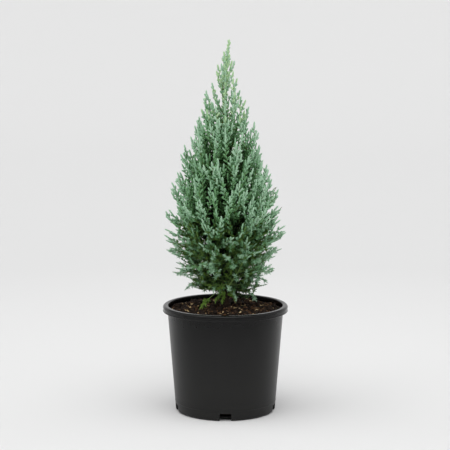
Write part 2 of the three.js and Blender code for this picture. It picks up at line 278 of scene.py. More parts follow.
NEEDLE_CURL = 0.06
NEEDLE_MIDDLE = 0.4
NEEDLE_FOLD = 0.4
CORE_RADIUS = (1.75, 0.8)
SCALY_CORE = (5, ((0, 0.55), (0.3, 1.0), (0.8, 0.85)))
STAR_CORE = (3, ((0, 0.8), (0.6, 1.0)))
LEADER_FEATHERS = 3
LEADER_WIDTH = 0.85
LEADER_STEP = 2.3
LEADER_END = 9
TWIG_RADII = (1.25, 0.5)
TWIG_RINGS = 6
TWIG_END = 0.96
TWIG_SIDES = 3
PIECE_TRIANGLES = 190_000
SKIRT_RISE = (14, 64)
LOW_WIDTH = 0.7
LOW_FAN = 0.7
SPIRE_TIPS = ((-3, 646), (8, 640), (12, 630), (-14, 623), (-16, 612), (21, 599), (-24, 591),
              (26, 578), (-33, 572), (42, 549), (-43, 545), (-51, 525), (-8, 592), (5, 586))
SPIRE_TURNS = ((0, 0), (90, -10))
SPIRE_LENGTH = 62
SPIRE_LEAFY = 0.8
SPIRE_LEAN = 1.3

# Layers of feathers: count, shares of the crown's radius, leans and step of shoots
LAYERS = (
    (410, (0.76, 1.07), (0.35, 1.05), SHOOT_STEP),
    (320, (0.1, 0.72), (0.5, 0.9), 4.6),
)

# Low growth: fork's height, bend's share, rise, leafy length, width, tint and tips
LOW_SPRIGS = ((-47, -70, 195), (-19, -50, 202), (-6, -53, 201), (19, -48, 203))
LOW_SPRAYS = ((-74, -8, 218), (57, -24, 200), (20, -50, 205), (-12, -50, 210), (-22, -48, 219),
              (-30, 44, 206), (34, 40, 212), (78, -6, 231))
LOW_GROWTH = (
    (LIMB_FOOT, 0.7, 9, 46, 1.05, "yellow_green", LOW_SPRIGS),
    (246, 0.75, 16, 60, 0.8, None, LOW_SPRAYS),
)

# Stage, in metres; each light by turn from the front, height, strength and softness
FLOOR_RADIUS = 16
FLOOR_SIDES = 96
FLOOR_MIDDLE = (0.0001, 0.5)
FLAT_RADIUS = 5
BOWL_DEPTH = 16
BOWL_RINGS = 30
SKY_LIGHT = 0.33
LIGHTS = {
    "key": (-15, 74, 1.6, 70),
    "fill": (10, 34, 0.44, 60),
    "left": (-84, 20, 1.18, 80),
    "right": (86, 20, 0.95, 80),
}

# Camera, in metres, radians and pixels of the photograph
CAMERA_DISTANCE = 2.67
CAMERA_HEIGHT = 0.70345
CAMERA_PITCH = 0.1365
FOCAL_PIXELS = 1507.3
FRAME_PIXELS = 450
OFFSET_PIXELS = 0.4

UP = np.array([0.0, 0.0, 1.0])
rng = np.random.default_rng(DEAL_SEED)


def lerp(a, b, t):
    return a + (b - a) * t


def unit(v):
    return v / np.linalg.norm(v, axis=-1, keepdims=True)


def chance(i, k):
    """The source's repeatable number from 0 to 1 for item i and its property k."""
    mask = 0xFFFFFFFF
    h = (i * 374761393 + k * 668265263 + SEED * 1442695041) & mask
    h = ((h ^ (h >> 13)) * 1274126177) & mask
    h = ((h ^ (h >> 15)) * 1911520717) & mask
    return (h ^ (h >> 16)) / 4294967296


def between(low, high, i, k):
    return lerp(low, high, chance(i, k))


def lattice(cell, seed):
    """A repeatable number from -1 to 1 for each whole-numbered cell."""
    mixers = (374761393, 668265263, 2246822519)
    h = sum(cell[..., axis].astype(np.uint32) * np.uint32(mixer) for axis, mixer in enumerate(mixers))
    h = h + np.uint32(seed * 40503)
    h = (h ^ (h >> np.uint32(13))) * np.uint32(1274126177)
    return (h ^ (h >> np.uint32(16))).astype(float) / 2147483648 - 1


def noise(points, seed):
    """Smooth value noise from -1 to 1 with cells one unit wide."""
    cell = np.floor(points).astype(np.int64)
    part = points - cell
    part = part * part * (3 - 2 * part)
    total = 0
    for corner in np.ndindex(2, 2, 2):
        weight = np.prod(np.where(corner, part, 1 - part), axis=-1)
        total = total + weight * lattice(cell + corner, seed)
    return total


def rough(points, octaves, seed):
    """Noise summed over octaves, each twice as fine and half as high."""
    return sum(noise(points * 2**k, seed + k) / 2**k for k in range(octaves))


# Meshes


def new_object(name, data):
    item = bpy.data.objects.new(name, data)
    bpy.context.scene.collection.objects.link(item)
    return item


def add_piece(name, vertices, faces, material, slot, replaced=(), smooth=True):
    """A piece of the object from points in millimetres and triangles or quads."""
    mesh = bpy.data.meshes.new(name)
    faces = np.asarray(faces, dtype=np.int32)
    corners = faces.shape[1]
    mesh.vertices.add(len(vertices))
    mesh.vertices.foreach_set("co", (vertices * MM).astype(np.float32).ravel())
    mesh.loops.add(faces.size)
    mesh.loops.foreach_set("vertex_index", faces.ravel())
    mesh.polygons.add(len(faces))
    mesh.polygons.foreach_set("loop_start", np.arange(len(faces), dtype=np.int32) * corners)
    mesh.polygons.foreach_set("use_smooth", np.full(len(faces), smooth))
    mesh.update(calc_edges=True)
    mesh.validate()
    mesh.materials.append(material)
    piece = new_object(name, mesh)
    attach(piece, BODY)
    if replaced:
        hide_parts(*replaced)
    return piece


def joined(parts):
    """Several (vertices, faces) pairs as one."""
    vertices, faces, start = [], [], 0
    for v, f in parts:
        vertices.append(v)
        faces.append(f + start)
        start += len(v)
    return np.concatenate(vertices), np.concatenate(faces)


def repeated(faces, count, size):
    """The faces of a shape with so many points, for a row of such shapes."""
    starts = np.arange(count) * size
    return (np.asarray(faces) + starts[:, None, None]).reshape(count * len(faces), -1)


def cross_axes(along):
    """Two directions square to each limb's own, the first of them level."""
    level = np.cross(UP, along)
    size = np.linalg.norm(level, axis=-1, keepdims=True)
    level = np.where(size < 1e-3, [1.0, 0.0, 0.0], level / np.maximum(size, 1e-9))
    return level, np.cross(along, level)


def turns(count):
    return np.linspace(0, 2 * math.pi, count, endpoint=False)


def grid_faces(rows, columns):
    """Quads over rows of points, each row closed on itself."""
    r, c = np.meshgrid(np.arange(rows - 1), np.arange(columns), indexing="ij")
    n = (c + 1) % columns
    here, above = r * columns, (r + 1) * columns
    return np.stack([here + c, here + n, above + n, above + c], axis=-1).reshape(-1, 4)


def tube(points, radii, sides, relief=None):
    """A skin of quads round a path; relief is a function of (turn, distance, radius) that swells it."""
    tangents = unit(np.gradient(points, axis=0))
    level, other = cross_axes(tangents)
    turn = turns(sides)
    steps = np.linalg.norm(np.diff(points, axis=0), axis=1)
    distance = np.concatenate([[0], np.cumsum(steps)])
    radius = np.repeat(np.asarray(radii, float)[:, None], sides, axis=1)
    if relief:
        radius = radius + relief(turn[None, :], distance[:, None], radius)
    ring = np.cos(turn)[None, :, None] * level[:, None] + np.sin(turn)[None, :, None] * other[:, None]
    return (points[:, None] + radius[..., None] * ring).reshape(-1, 3), grid_faces(len(points), sides)


def lathe(profile, sides):
    """A skin of revolution about Z from a profile of (radius, height)."""
    profile = np.asarray(profile, float)
    turn = turns(sides)
    r, z = profile[:, :1], profile[:, 1:]
    points = np.stack(np.broadcast_arrays(r * np.sin(turn), -r * np.cos(turn), z), axis=-1)
    return points.reshape(-1, 3), grid_faces(len(profile), sides)


def arc(centre_r, centre_z, radius, start, end, steps):
    """Points of a profile on an arc, with angles in degrees from outward towards up."""
    angles = np.radians(np.linspace(start, end, steps))
    return [(centre_r + radius * math.cos(a), centre_z + radius * math.sin(a)) for a in angles]


# Materials


def srgb(*levels):
    """A colour given as 8-bit screen values, in linear light."""
    shares = [level / 255 for level in levels]
    linear = [c / 12.92 if c <= 0.04045 else ((c + 0.055) / 1.055) ** 2.4 for c in shares]
    return (*linear, 1.0)


def new_material(name, colour, roughness, specular):
    material = bpy.data.materials.new(name)
    material.use_nodes = True
    shader = material.node_tree.nodes["Principled BSDF"]
    shader.inputs["Base Color"].default_value = colour
    shader.inputs["Roughness"].default_value = roughness
    shader.inputs["Specular IOR Level"].default_value = specular
    return material, material.node_tree, shader


def own_place(tree, stretch):
    """The object's own coordinates in metres, stretched along each axis."""
    place = tree.nodes.new("ShaderNodeTexCoord")
    mapping = tree.nodes.new("ShaderNodeMapping")
    mapping.inputs["Scale"].default_value = stretch
    tree.links.new(place.outputs["Object"], mapping.inputs["Vector"])
    return mapping.outputs["Vector"]


def add_noise(tree, scale, detail, stretch=(1, 1, 1)):
    """Noise with so many cells to the metre."""
    texture = tree.nodes.new("ShaderNodeTexNoise")
    texture.inputs["Scale"].default_value = scale
    texture.inputs["Detail"].default_value = detail
    tree.links.new(own_place(tree, stretch), texture.inputs["Vector"])
    return texture.outputs["Fac"]


def add_ramp(tree, source, stops, target):
    """A ramp of colours or greys from one socket to another."""
    ramp = tree.nodes.new("ShaderNodeValToRGB")
    elements = ramp.color_ramp.elements
    while len(elements) < len(stops):
        elements.new(0.5)
    for element, (position, colour) in zip(elements, stops):
        element.position = position
        element.color = colour if isinstance(colour, tuple) else (colour, colour, colour, 1)
    tree.links.new(source, ramp.inputs["Fac"])
    tree.links.new(ramp.outputs["Color"], target)


def add_bump(tree, shader, source, strength, distance):
    bump = tree.nodes.new("ShaderNodeBump")
    bump.inputs["Strength"].default_value = strength
    bump.inputs["Distance"].default_value = distance
    tree.links.new(source, bump.inputs["Height"])
    tree.links.new(bump.outputs["Normal"], shader.inputs["Normal"])


def clouded_height(tree, scale, detail, depth):
    """Height above the floor in metres, raised by clouds of noise up to a depth."""
    parts = tree.nodes.new("ShaderNodeSeparateXYZ")
    tree.links.new(own_place(tree, (1, 1, 1)), parts.inputs["Vector"])
    height = tree.nodes.new("ShaderNodeMath")
    height.operation = "MULTIPLY_ADD"
    height.inputs[1].default_value = depth
    tree.links.new(add_noise(tree, scale, detail, (1, 1, 0.3)), height.inputs[0])
    tree.links.new(parts.outputs["Z"], height.inputs[2])
    return height.outputs["Value"]


def plastic_material():
    """Black plastic, its base colour painted darker towards the rim as painted shade and lighter in clouds
    towards the foot.
    """
    material, tree, shader = new_material("nursery_plastic", srgb(12, 12, 12), 0.34, 0.24)
    # Painted shade: the base colour runs from grey at the foot to near black under the rim.
    painted_shade_greys = [(0.08, srgb(25, 25, 24)), (0.16, srgb(17, 17, 17)), (0.2, srgb(4, 4, 4))]
    add_ramp(tree, clouded_height(tree, 14, 3, 0.05), painted_shade_greys, shader.inputs["Base Color"])
    wear = [(0.06, 0.38), (0.2, 0.3), (0.22, 0.17)]
    add_ramp(tree, clouded_height(tree, 60, 6, 0.06), wear, shader.inputs["Roughness"])
    add_bump(tree, shader, add_noise(tree, 900, 2), 0.12, 0.0004)
    return material


def compost_material(name, dark, light, scale):
    material, tree, shader = new_material(name, dark, 0.95, 0.25)
    add_ramp(tree, add_noise(tree, scale, 6), [(0.35, dark), (0.68, light)], shader.inputs["Base Color"])
    add_bump(tree, shader, add_noise(tree, scale * 4, 4), 0.5, 0.0008)
    return material


def bark_material(name, dark, light):
    material, tree, shader = new_material(name, dark, 0.9, 0.3)
    streaks = add_noise(tree, 260, 5, (1, 1, 0.16))
    add_ramp(tree, streaks, [(0.32, dark), (0.66, light)], shader.inputs["Base Color"])
    add_bump(tree, shader, add_noise(tree, 700, 4, (1, 1, 0.2)), 0.4, 0.0005)
    return material


# Pot


def wall_radius(z):
    return lerp(BASE_RADIUS, NECK_RADIUS, z / (POT_HEIGHT - RIM_DEPTH))


def foot_profile():
    """The recessed underside, the foot ring and the rounded heel."""
    heel = wall_radius(FOOT_ROUND)
    turn = np.radians(np.linspace(0, 90, HEEL_STEPS))
    ring = [(lerp(FOOT_RADIUS, heel, math.sin(a)), FOOT_ROUND * (1 - math.cos(a))) for a in turn]
    return [(0, RECESS_DEPTH), (RECESS_RADIUS, RECESS_DEPTH), (RECESS_RADIUS + RECESS_DEPTH, 0), *ring]


def wall_profile():
    """The tapered outside, with the fine moulding line near its foot."""
    line = wall_radius(SEAM_Z) + SEAM_RISE
    below = [(wall_radius(z), z) for z in (SEAM_Z / 2, SEAM_Z - 2 * SEAM_HALF)]
    heights = np.linspace(WALL_STEPS_FROM, POT_HEIGHT - RIM_DEPTH, WALL_STEPS)
    above = [(wall_radius(z), z) for z in (SEAM_Z + 2 * SEAM_HALF, *heights)]
    return below + [(line, SEAM_Z - SEAM_HALF), (line, SEAM_Z + SEAM_HALF)] + above


def rim_profile():
    """The turned-down rim: neck, skirt with a bead on its lower edge, and rounded shoulder."""
    under_rim, web = POT_HEIGHT - RIM_DEPTH, POT_HEIGHT - RIM_THICKNESS
    skirt, face = RIM_RADIUS - RIM_SKIRT, RIM_RADIUS - FACE_INSET
    shoulder_z = POT_HEIGHT - RIM_ROUND
    neck = arc(NECK_RADIUS + NECK_FILLET, web - NECK_FILLET, NECK_FILLET, 180, 90, 4)
    inner = [(skirt, web), (skirt, under_rim + BEAD_RADIUS)]
    bead = arc(RIM_RADIUS - BEAD_RADIUS, under_rim + BEAD_RADIUS, BEAD_RADIUS, *BEAD_TURN, 9)
    outer = [(face, under_rim + BEAD_FADE * BEAD_RADIUS), (face, shoulder_z - FACE_INSET)]
    shoulder = arc(RIM_RADIUS - RIM_ROUND, shoulder_z, RIM_ROUND, 0, 90, 10)
    lip = arc(RIM_INNER_RADIUS + LIP_ROUND, POT_HEIGHT - LIP_ROUND, LIP_ROUND, 90, 180, 6)
    return neck + inner + bead + outer + shoulder + lip


def pot_profile():
    """The pot's whole section, from under its base round to its inner floor."""
    inside = [(wall_radius(z) - WALL, z) for z in (POT_HEIGHT - RIM_DEPTH, POT_HEIGHT / 2, FLOOR_TOP)]
    return foot_profile() + wall_profile() + rim_profile() + inside + [(0, FLOOR_TOP)]


def notch_cutter(angle):
    """A wedge that cuts one drain notch through the foot of the wall."""
    foot, top = NOTCH_FOOT_WIDTH / 2, NOTCH_TOP_WIDTH / 2
    outline = [(-foot, -NOTCH_OVERRUN), (foot, -NOTCH_OVERRUN), (top, NOTCH_HEIGHT), (-top, NOTCH_HEIGHT)]
    points = [(x, -r, z) for r in (NOTCH_INNER_RADIUS, RIM_RADIUS) for x, z in outline]
    data = bpy.data.meshes.new("notch")
    data.from_pydata(points, [], [(3, 2, 1, 0), (4, 5, 6, 7), *grid_faces(2, 4).tolist()])
    cutter = new_object("notch", data)
    cutter.scale = (MM, MM, MM)
    cutter.rotation_euler = (0, 0, math.radians(angle))
    return cutter


def close_axis(data):
    """Joins the points that meet on a lathed skin's axis and turns its faces outward."""
    mesh = bmesh.new()
    mesh.from_mesh(data)
    bmesh.ops.remove_doubles(mesh, verts=mesh.verts, dist=MERGE_DISTANCE)
    bmesh.ops.recalc_face_normals(mesh, faces=mesh.faces)
    mesh.to_mesh(data)
    mesh.free()


def make_pot():
    skin = lathe(pot_profile(), POT_SIDES)
    pot = add_piece("nursery_pot", *skin, plastic_material(), "pot_plastic", ["pot"])
    close_axis(pot.data)
    cutters = [notch_cutter(angle) for angle in NOTCH_ANGLES]
    for cutter in cutters:
        cut = pot.modifiers.new("notch", "BOOLEAN")
        cut.object = cutter
        cut.operation = "DIFFERENCE"
        cut.solver = "EXACT"
    done = bpy.data.meshes.new_from_object(pot.evaluated_get(bpy.context.evaluated_depsgraph_get()))
    pot.modifiers.clear()
    pot.data = done
    for cutter in cutters:
        bpy.data.objects.remove(cutter)
    done.shade_smooth()
    done.set_sharp_from_angle(angle=math.radians(SHARP_ANGLE))


# Soil


def soil_inside(z):
    return wall_radius(z) - WALL - CLEARANCE


def soil_height(x, y):
    """The crumbly surface's height, a low mound that falls to the pot's wall."""
    reach = np.hypot(x, y)
    edge = soil_inside(SOIL_EDGE_Z)
    middle = lerp(SOIL_FLAT_RADIUS, edge, 0.5)
    heights = [SOIL_TOP, lerp(SOIL_EDGE_Z, SOIL_TOP, MOUND_FULLNESS), SOIL_EDGE_Z]
    base = np.interp(reach, [SOIL_FLAT_RADIUS, middle, edge], heights)
    points = np.stack([x, y, np.zeros_like(x)], axis=-1)
    lumps = rough(points / LUMP_WIDTH, 4, 3)
    cracks = np.abs(noise(points / CRACK_WIDTH, 11))
    return base + LUMP_HEIGHT * lumps - CRACK_DEPTH * cracks - SOIL_DROP


def make_soil():
    """The compost bed: a crumbly top, and a plug below it down to the pot's floor."""
    foot = FLOOR_TOP + CLEARANCE
    plug = [(soil_inside(SOIL_CHAMFER_Z), SOIL_CHAMFER_Z), (SOIL_FOOT_RADIUS, foot), (AXIS_RADIUS, foot)]
    reach = np.linspace(AXIS_RADIUS, soil_inside(SOIL_EDGE_Z), SOIL_ROWS)
    points, faces = lathe([*((r, 0) for r in reach), *plug], SOIL_COLUMNS)
    top = points[:SOIL_ROWS * SOIL_COLUMNS]
    top[:, 2] = soil_height(top[:, 0], top[:, 1])
    dark = compost_material("compost", srgb(18, 13, 9), srgb(44, 31, 22), 150)
    add_piece("compost_bed", points, faces[:, ::-1], dark, "compost", ["soil"])


def scatter(count, reach, seed):
    """Places spread evenly over the soil's disc."""
    draw = np.random.default_rng(seed)
    r = reach * np.sqrt(draw.random(count))
    turn = draw.random(count) * 2 * math.pi
    return r * np.cos(turn), r * np.sin(turn), draw


def icosahedron():
    g = (1 + math.sqrt(5)) / 2
    mesh = bmesh.new()
    for a in (-1, 1):
        for b in (-g, g):
            for point in ((0, a, b), (a, b, 0), (b, 0, a)):
                mesh.verts.new(point)
    bmesh.ops.convex_hull(mesh, input=mesh.verts)
    mesh.verts.index_update()
    vertices = unit(np.array([v.co[:] for v in mesh.verts]))
    faces = np.array([[v.index for v in f.verts] for f in mesh.faces])
    mesh.free()
    return vertices, faces


# Name, count, smallest and largest size, dark and light colour, seed
CRUMBS = (
    ("compost_crumbs_dark", 1300, 1.1, 5.0, (srgb(18, 13, 9), srgb(46, 32, 22)), 31),
    ("compost_crumbs_brown", 800, 0.9, 3.4, (srgb(48, 34, 23), srgb(104, 76, 52)), 32),
)


def make_crumbs():
    """Crumbs of compost half sunk in the bed, in two browns."""
    shape, faces = icosahedron()
    for name, count, low, high, colours, seed in CRUMBS:
        x, y, draw = scatter(count, soil_inside(SOIL_EDGE_Z) - CRUMB_MARGIN, seed)
        size = lerp(low, high, draw.random(count) ** CRUMB_CROWDING)
        stretch = draw.uniform(*CRUMB_STRETCH, (count, 1, 3))
        lumpy = shape * stretch * (1 + draw.uniform(-CRUMB_LUMPS, CRUMB_LUMPS, (count, len(shape), 1)))
        centre = np.stack([x, y, soil_height(x, y) + CRUMB_LIFT * size], axis=-1)
        vertices = (centre[:, None] + lumpy * size[:, None, None]).reshape(-1, 3)
        all_faces = repeated(faces, count, len(shape))
        add_piece(name, vertices, all_faces, compost_material(name, *colours, 300), "compost")


def slivers(count, length, width, seed):
    """Bent four-sided slivers lying on the soil."""
    x, y, draw = scatter(count, soil_inside(SOIL_EDGE_Z) - CHIP_MARGIN, seed)
    turn = draw.random(count) * 2 * math.pi
    along = unit(np.stack([np.cos(turn), np.sin(turn), draw.uniform(*CHIP_TILT, count)], axis=-1))
    level, other = cross_axes(along)
    size = length * draw.uniform(*CHIP_LENGTHS, count)
    half = width * draw.uniform(*CHIP_WIDTHS, count) / 2
    thick = half * draw.uniform(*CHIP_THICKNESS, count)
    bend = size * draw.uniform(*CHIP_BEND, count)
    centre = np.stack([x, y, soil_height(x, y) + CHIP_LIFT], axis=-1)
    points = []
    for s, share in CHIP_RINGS:
        middle = centre + along * (size * s)[:, None] + other * (bend * (0.25 - s * s) * 4)[:, None]
        for a, b in CHIP_CORNERS:
            side, rise = (a * half * share)[:, None], (b * thick * share)[:, None]
            points.append(middle + level * side + other * rise)
    corners = len(CHIP_CORNERS)
    last = np.arange(corners) + (len(CHIP_RINGS) - 1) * corners
    faces = np.concatenate([grid_faces(len(CHIP_RINGS), corners), [np.arange(corners)[::-1], last]])
    return np.stack(points, axis=1).reshape(-1, 3), repeated(faces, count, len(points))


# Name, count, length, width, dark and light colour, seed
CHIPS = (
    ("bark_chips_tan", 120, 6.6, 3.6, (srgb(200, 166, 116), srgb(236, 212, 166)), 41),
    ("bark_chips_brown", 190, 8.5, 3.0, (srgb(52, 35, 23), srgb(112, 80, 54)), 42),
    ("bark_fibres", 100, 16.0, 0.9, (srgb(96, 70, 46), srgb(160, 126, 90)), 43),
)


def make_chips():
    """Chips and fibres of bark that lie on the compost."""
    for name, count, length, width, colours, seed in CHIPS:
        chips = slivers(count, length, width, seed)
        add_piece(name, *chips, compost_material(name, *colours, 400), "compost", smooth=False)


# Trunk and limbs


def trunk_point(z):
    z = np.asarray(z, float)
    share = (z - SOIL_TOP) / (CROWN_TOP - SOIL_TOP)
    x = TIP_LEAN * share**LEAN_POWER - SWAY * np.sin(np.pi * share)
    return np.stack([x, np.zeros_like(share), z], axis=-1)


def trunk_radius(z):
    share = (z - TRUNK_FOOT) / (TRUNK_TOP - TRUNK_FOOT)
    return lerp(TRUNK_RADIUS, TRUNK_TIP_RADIUS, share) + FLARE * np.exp((TRUNK_FOOT - z) / FLARE_FADE)


def crown_radius(z):
    if z >= CROWN_TOP:
        return 0.0
    if z >= BELLY_Z:
        taper = ((z - BELLY_Z) / (CROWN_TOP - BELLY_Z)) ** CONE_POWER
        return BELLY_RADIUS * (1 - taper) ** SPIRE_POWER
    drop = min(1, (BELLY_Z - z) / BELLY_DROP)
    return BELLY_RADIUS * (1 - drop**2) ** FOOT_POWER


def crown_share(z):
    return min(1, max(0, (z - CROWN_FOOT) / (CROWN_TOP - CROWN_FOOT)))


def outward(turn):
    return np.array([math.cos(turn), math.sin(turn), 0])


def even_heights(count):
    """Heights from the crown's foot to its shoulder that share its skin out evenly."""
    heights = [lerp(CROWN_FOOT, CROWN_SHOULDER, k / CROWN_STEPS) for k in range(CROWN_STEPS + 1)]
    areas = np.concatenate([[0], np.cumsum([crown_radius(z) + SHOULDER_CROWDING for z in heights[1:]])])
    return [heights[int(np.argmax(areas >= areas[-1] * (i + 0.5) / count))] for i in range(count)]


class Curve:
    """A quadratic curve through space."""

    def __init__(self, foot, bend, tip):
        self.foot, self.bend, self.tip = foot, bend, tip
        self.length = float(np.linalg.norm(bend - foot) + np.linalg.norm(tip - bend))

    def point(self, t):
        t = np.asarray(t, float)[..., None]
        return (1 - t) ** 2 * self.foot + 2 * t * (1 - t) * self.bend + t**2 * self.tip

    def tangent(self, t):
        t = np.asarray(t, float)[..., None]
        return unit((1 - t) * (self.bend - self.foot) + t * (self.tip - self.bend))


class Plume(Curve):
    """One limb of the crown: a bent path from the trunk's axis to its tip on the envelope."""

    def __init__(self, index, path, size, out):
        super().__init__(*path)
        self.index = index
        self.size = size
        self.out = out
        self.is_leader = index == PLUMES
        self.branchlets = LEADER_BRANCHLETS if self.is_leader else BRANCHLETS
        self.stem_start = BOUGH_SHARE if index < BOUGHS else 0


def grow_plume(i, tip_z):
    """Plume i by the source's rule, with its tip at a height."""
    share = crown_share(tip_z)
    out = outward(i * GOLDEN_ANGLE + between(-TURN_SPREAD, TURN_SPREAD, i, 1))
    reach = crown_radius(tip_z) * between(SHORTEST_REACH, LONGEST_REACH, i, 2)
    angle = lerp(TOP_ANGLE, FOOT_ANGLE, (1 - share) ** ANGLE_POWER)
    lean = math.radians(angle + between(-ANGLE_SPREAD, ANGLE_SPREAD, i, 3))
    lowest_fork = SOIL_TOP + LOWEST_FORK + FORK_CLIMB * i
    fork = trunk_point(min(max(tip_z - reach / math.tan(lean), lowest_fork), HIGHEST_FORK))
    tip = trunk_point(tip_z) + out * reach
    chord = tip - fork
    length = np.linalg.norm(chord)
    rise = math.atan2(chord @ out, chord[2]) + math.radians(lerp(FOOT_BEND, TOP_BEND, share))
    bend = fork + (out * math.sin(rise) + UP * math.cos(rise)) * length / 2
    return Plume(i, (fork, bend, tip), min(1, length / FULL_LENGTH), out)


def grow_leader():
    heights = (TRUNK_TOP + CLEARANCE, lerp(TRUNK_TOP, CROWN_TOP, 0.5), CROWN_TOP - CLEARANCE)
    return Plume(PLUMES, [trunk_point(z) for z in heights], LEADER_SIZE, np.zeros(3))


def grow_branchlet(plume, j):
    """Branchlet j of a plume by the source's rule: foot, direction and length."""
    key = plume.index * KEYS_A_PLUME + j
    along = (j + BRANCHLET_OFFSET) / plume.branchlets
    t = lerp(plume.stem_start, 1, along)
    stem = plume.tangent(t)
    level, other = cross_axes(stem)
    turn = j * GOLDEN_ANGLE + between(-TURN_SPREAD, TURN_SPREAD, key, 11)
    side = level * math.cos(turn) + other * math.sin(turn)
    lean = lerp(BRANCHLET_ANGLE, BRANCHLET_TIP_ANGLE, along)
    angle = math.radians(lean + between(-BRANCHLET_SPREAD, BRANCHLET_SPREAD, key, 12))
    way = unit(stem * math.cos(angle) + side * math.sin(angle) + UP * BRANCHLET_LIFT)
    inward = INWARD_SHARE if way @ plume.out < 0 else 1
    share = math.sqrt(plume.size) * inward * lerp(1, TIP_SHARE, along)
    length = BRANCHLET_LENGTH * share * between(SHORTEST_BRANCHLET, LONGEST_BRANCHLET, key, 13)
    return plume.point(t), way, length


def inside_crown(tip):
    sway = trunk_point(tip[2])[0]
    reach = min(math.hypot(tip[0] - middle, tip[1]) for middle in (0, sway))
    return SOIL_TOP + LOWEST_TIP < tip[2] < CROWN_TOP and reach < crown_radius(tip[2]) + TIP_ALLOWANCE


# Foliage

# The darkest tints are painted shade for the crown's inside, partly also the older inner needles' own
# darker colour.
TINTS = {
    "hollow_shade": srgb(22, 34, 13),
    "shade": srgb(50, 79, 38),
    "deep": srgb(78, 122, 72),
    "moss": srgb(86, 118, 54),
    "green": srgb(118, 166, 116),
    "blue_green": srgb(144, 186, 149),
    "glaucous": srgb(166, 202, 171),
    "young": srgb(178, 212, 164),
    "yellow_green": srgb(114, 150, 60),
}
DEPTH_ORDER = ("hollow_shade", "shade", "deep", "green", "blue_green", "glaucous")

# Dealing of tints: shares of the crown's height, depths in its radius and levels of DEPTH_ORDER; the dark
# inward is painted shade, lessened higher up, and low outer shoots get a painted highlight
OPEN_SHARE = 0.55
OPEN_RATE = 3
YOUNG_SHARE = 0.7
YOUNG_START = 0.6
YOUNG_RATE = 2
INNER_SHARE = 0.25
INNER_DEPTH = 0.6
INNER_CHANCE = 0.25
CALM_RATE = 2.5
CONTRAST = (2.9, 1.4)
JITTER = (0.95, 0.4)
# LIFT with its share and depth deals a painted highlight to low shoots near the envelope.
LIFT = 3.2
LIFT_SHARE = 0.35
LIFT_DEPTH = 0.6
DARK_DEPTH = 0.3
DEPTH_LEVELS = 4.4
HEIGHT_LEVELS = 1.1
MOSS_SHARE = 0.32
MOSS_CHANCE = {"deep": 0.7, "green": 0.4, "blue_green": 0.12}


def crown_depth(point):
    """How far out a point stands: 0 on the trunk's axis and 1 on the crown's envelope."""
    axis = trunk_point(point[2])
    return math.hypot(point[0] - axis[0], point[1] - axis[1]) / max(crown_radius(point[2]), SLIMMEST_CROWN)


def choose_tint(tip, pale):
    """A shoot's tint, from dark inside the crown to pale outside, by its feather's own paleness; the inner
    dark is painted shade, partly the older needles' own colour, and low outer shoots get a painted
    highlight.
    """
    share, depth = crown_share(tip[2]), crown_depth(tip)
    depth = lerp(depth, 1, min(1, max(0, share - OPEN_SHARE) * OPEN_RATE))
    if share > YOUNG_SHARE and rng.random() < (share - YOUNG_START) * YOUNG_RATE:
        return "young"
    if share < INNER_SHARE and depth < INNER_DEPTH and rng.random() < INNER_CHANCE:
        return "yellow_green"
    calm = min(1, share * CALM_RATE)
    jitter = lerp(*JITTER, calm)
    # Painted shade: the deeper a shoot stands in the crown, the darker its tint.
    level = DEPTH_LEVELS * max(0, depth - DARK_DEPTH) / (1 - DARK_DEPTH)
    level += lerp(*CONTRAST, calm) * (pale - 0.5)
    level += rng.uniform(-jitter, jitter)
    level += HEIGHT_LEVELS * share
    # Painted highlight: low shoots near the envelope are dealt paler tints.
    level += LIFT * max(0, 1 - share / LIFT_SHARE) * max(0, depth - LIFT_DEPTH)
    tint = DEPTH_ORDER[int(min(len(DEPTH_ORDER) - 1, max(0, round(level))))]
    return "moss" if share < MOSS_SHARE and rng.random() < MOSS_CHANCE.get(tint, 0) else tint


def starriness(z):
    """0 where shoots are slim and scaly, 1 where they are stars of needles."""
    return min(1, max(0, (STAR_TOP - z) / (STAR_TOP - STAR_FOOT)))


def tip_way(point, out, lean):
    """Where tips point at a place in the crown: level at its foot, upright at its top."""
    away = (point - trunk_point(point[2])) * [1, 1, 0]
    reach = np.linalg.norm(away)
    away = away / reach if reach > AXIS_REACH else out
    fade = math.exp(-((crown_share(point[2]) / TIP_FADE) ** 2))
    angle = math.radians(lerp(TIP_TOP_ANGLE, TIP_FOOT_ANGLE, fade)) * lean
    return unit(away * math.sin(angle) + UP * math.cos(angle))


